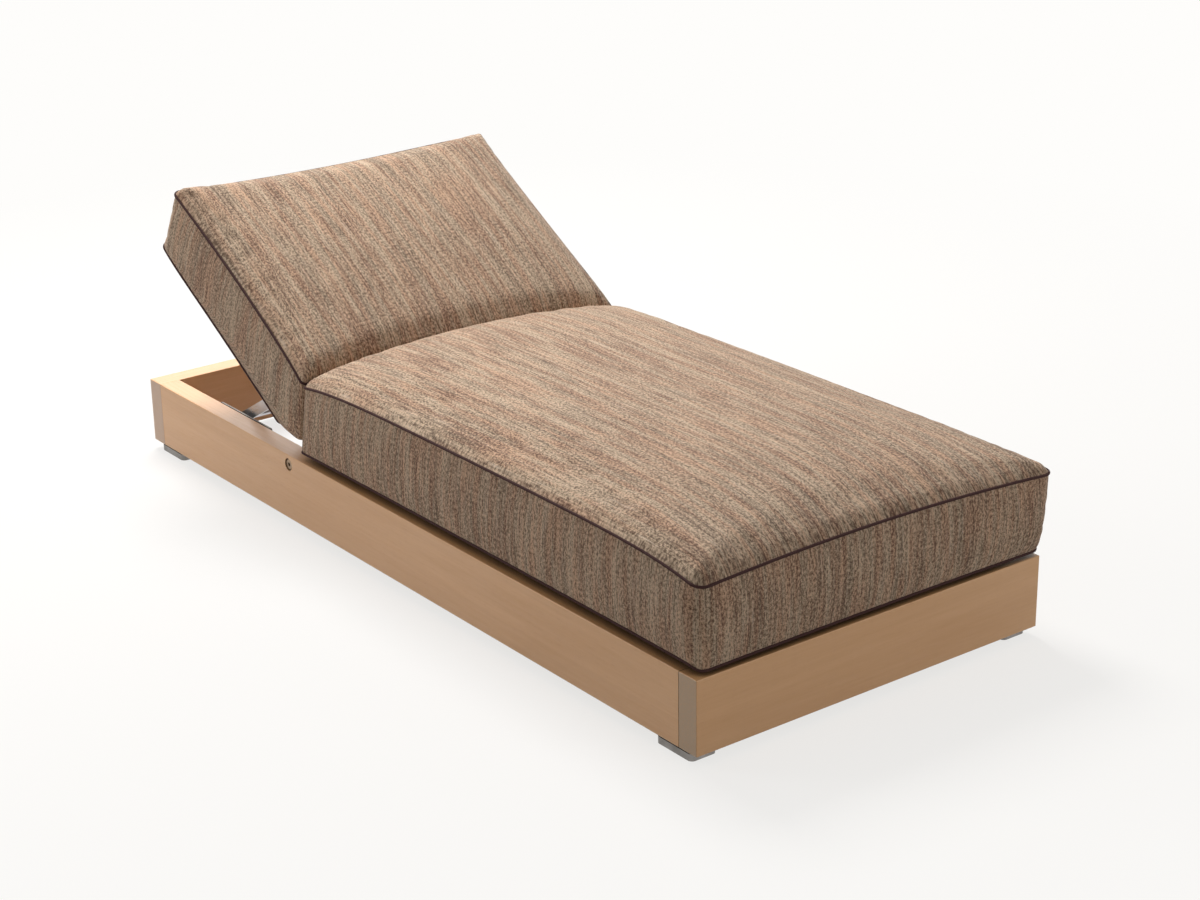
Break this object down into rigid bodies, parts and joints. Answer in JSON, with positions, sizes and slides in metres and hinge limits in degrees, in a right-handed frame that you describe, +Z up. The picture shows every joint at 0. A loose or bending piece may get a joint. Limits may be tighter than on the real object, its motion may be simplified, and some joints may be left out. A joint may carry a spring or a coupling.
{
  "type": "sun lounger",
  "caption": "Low outdoor sun lounger: wooden box frame on small feet, slatted base, raisable backrest on a prop stay, and two thick piped cushions.",
  "frame": {"origin": "on the floor, under the middle of the wooden frame", "axes": "+Z up, +Y along the frame to the head end, +X across it"},
  "size_m": [0.85, 2, 0.6545],
  "materials": {
    "frame_wood": "satin",
    "slat_wood": "matte",
    "cushion_fabric": "matte",
    "piping_fabric": "matte",
    "dark_plastic": "matte",
    "steel": "satin"
  },
  "bodies": {
    "base": {"centre_bearer": "slat_wood", "cross_beam": "slat_wood", "foot_spacers": "dark_plastic", "front_board": "frame_wood", "front_left_corner_bracket": "steel", "front_left_foot": "steel", "front_right_corner_bracket": "steel", "front_right_foot": "steel", "hinge_bushes": "dark_plastic", "hinge_nuts": "steel", "hinge_spacers": "steel", "left_guide_plate": "steel", "left_hinge_bolt": "steel", "left_ledger": "slat_wood", "left_side_board": "frame_wood", "rear_board": "frame_wood", "rear_left_corner_bracket": "steel", "rear_left_foot": "steel", "rear_right_corner_bracket": "steel", "rear_right_foot": "steel", "right_guide_plate": "steel", "right_hinge_bolt": "steel", "right_ledger": "slat_wood", "right_side_board": "frame_wood", "seat_cushion": "cushion_fabric", "seat_cushion_piping": "piping_fabric", "seat_slat_01": "slat_wood", "seat_slat_02": "slat_wood", "seat_slat_03": "slat_wood", "seat_slat_04": "slat_wood", "seat_slat_05": "slat_wood", "seat_slat_06": "slat_wood", "seat_slat_07": "slat_wood", "seat_slat_08": "slat_wood", "seat_slat_09": "slat_wood", "seat_slat_10": "slat_wood"},
    "backrest": {"backrest_cushion": "cushion_fabric", "backrest_cushion_piping": "piping_fabric", "backrest_middle_rail": "steel", "backrest_slat_1": "slat_wood", "backrest_slat_2": "slat_wood", "backrest_slat_3": "slat_wood", "backrest_slat_4": "slat_wood", "backrest_slat_5": "slat_wood", "backrest_slat_6": "slat_wood", "backrest_top_rail": "steel", "left_backrest_rail": "steel", "left_hinge_plate": "steel", "right_backrest_rail": "steel", "right_hinge_plate": "steel", "stay_pins": "steel"},
    "stay": {"left_stay_arm": "steel", "right_stay_arm": "steel", "stay_foot_bar": "steel"}
  },
  "joints": [
    {"name": "backrest_hinge", "type": "hinge", "parent": "base", "child": "backrest", "pos_m": [0, 0.375, 0.148], "axis": [1, 0, 0], "range_deg": [-30, 30], "deforming": ["backrest_cushion", "backrest_cushion_piping"]},
    {"name": "stay_hinge", "type": "hinge", "parent": "backrest", "child": "stay", "pos_m": [0, 0.53088, 0.238], "axis": [1, 0, 0], "range_deg": [-60, 60]}
  ],
  "couplings": [
    {"joint": "stay_hinge", "follows": "backrest_hinge", "ratio": -2}
  ]
}
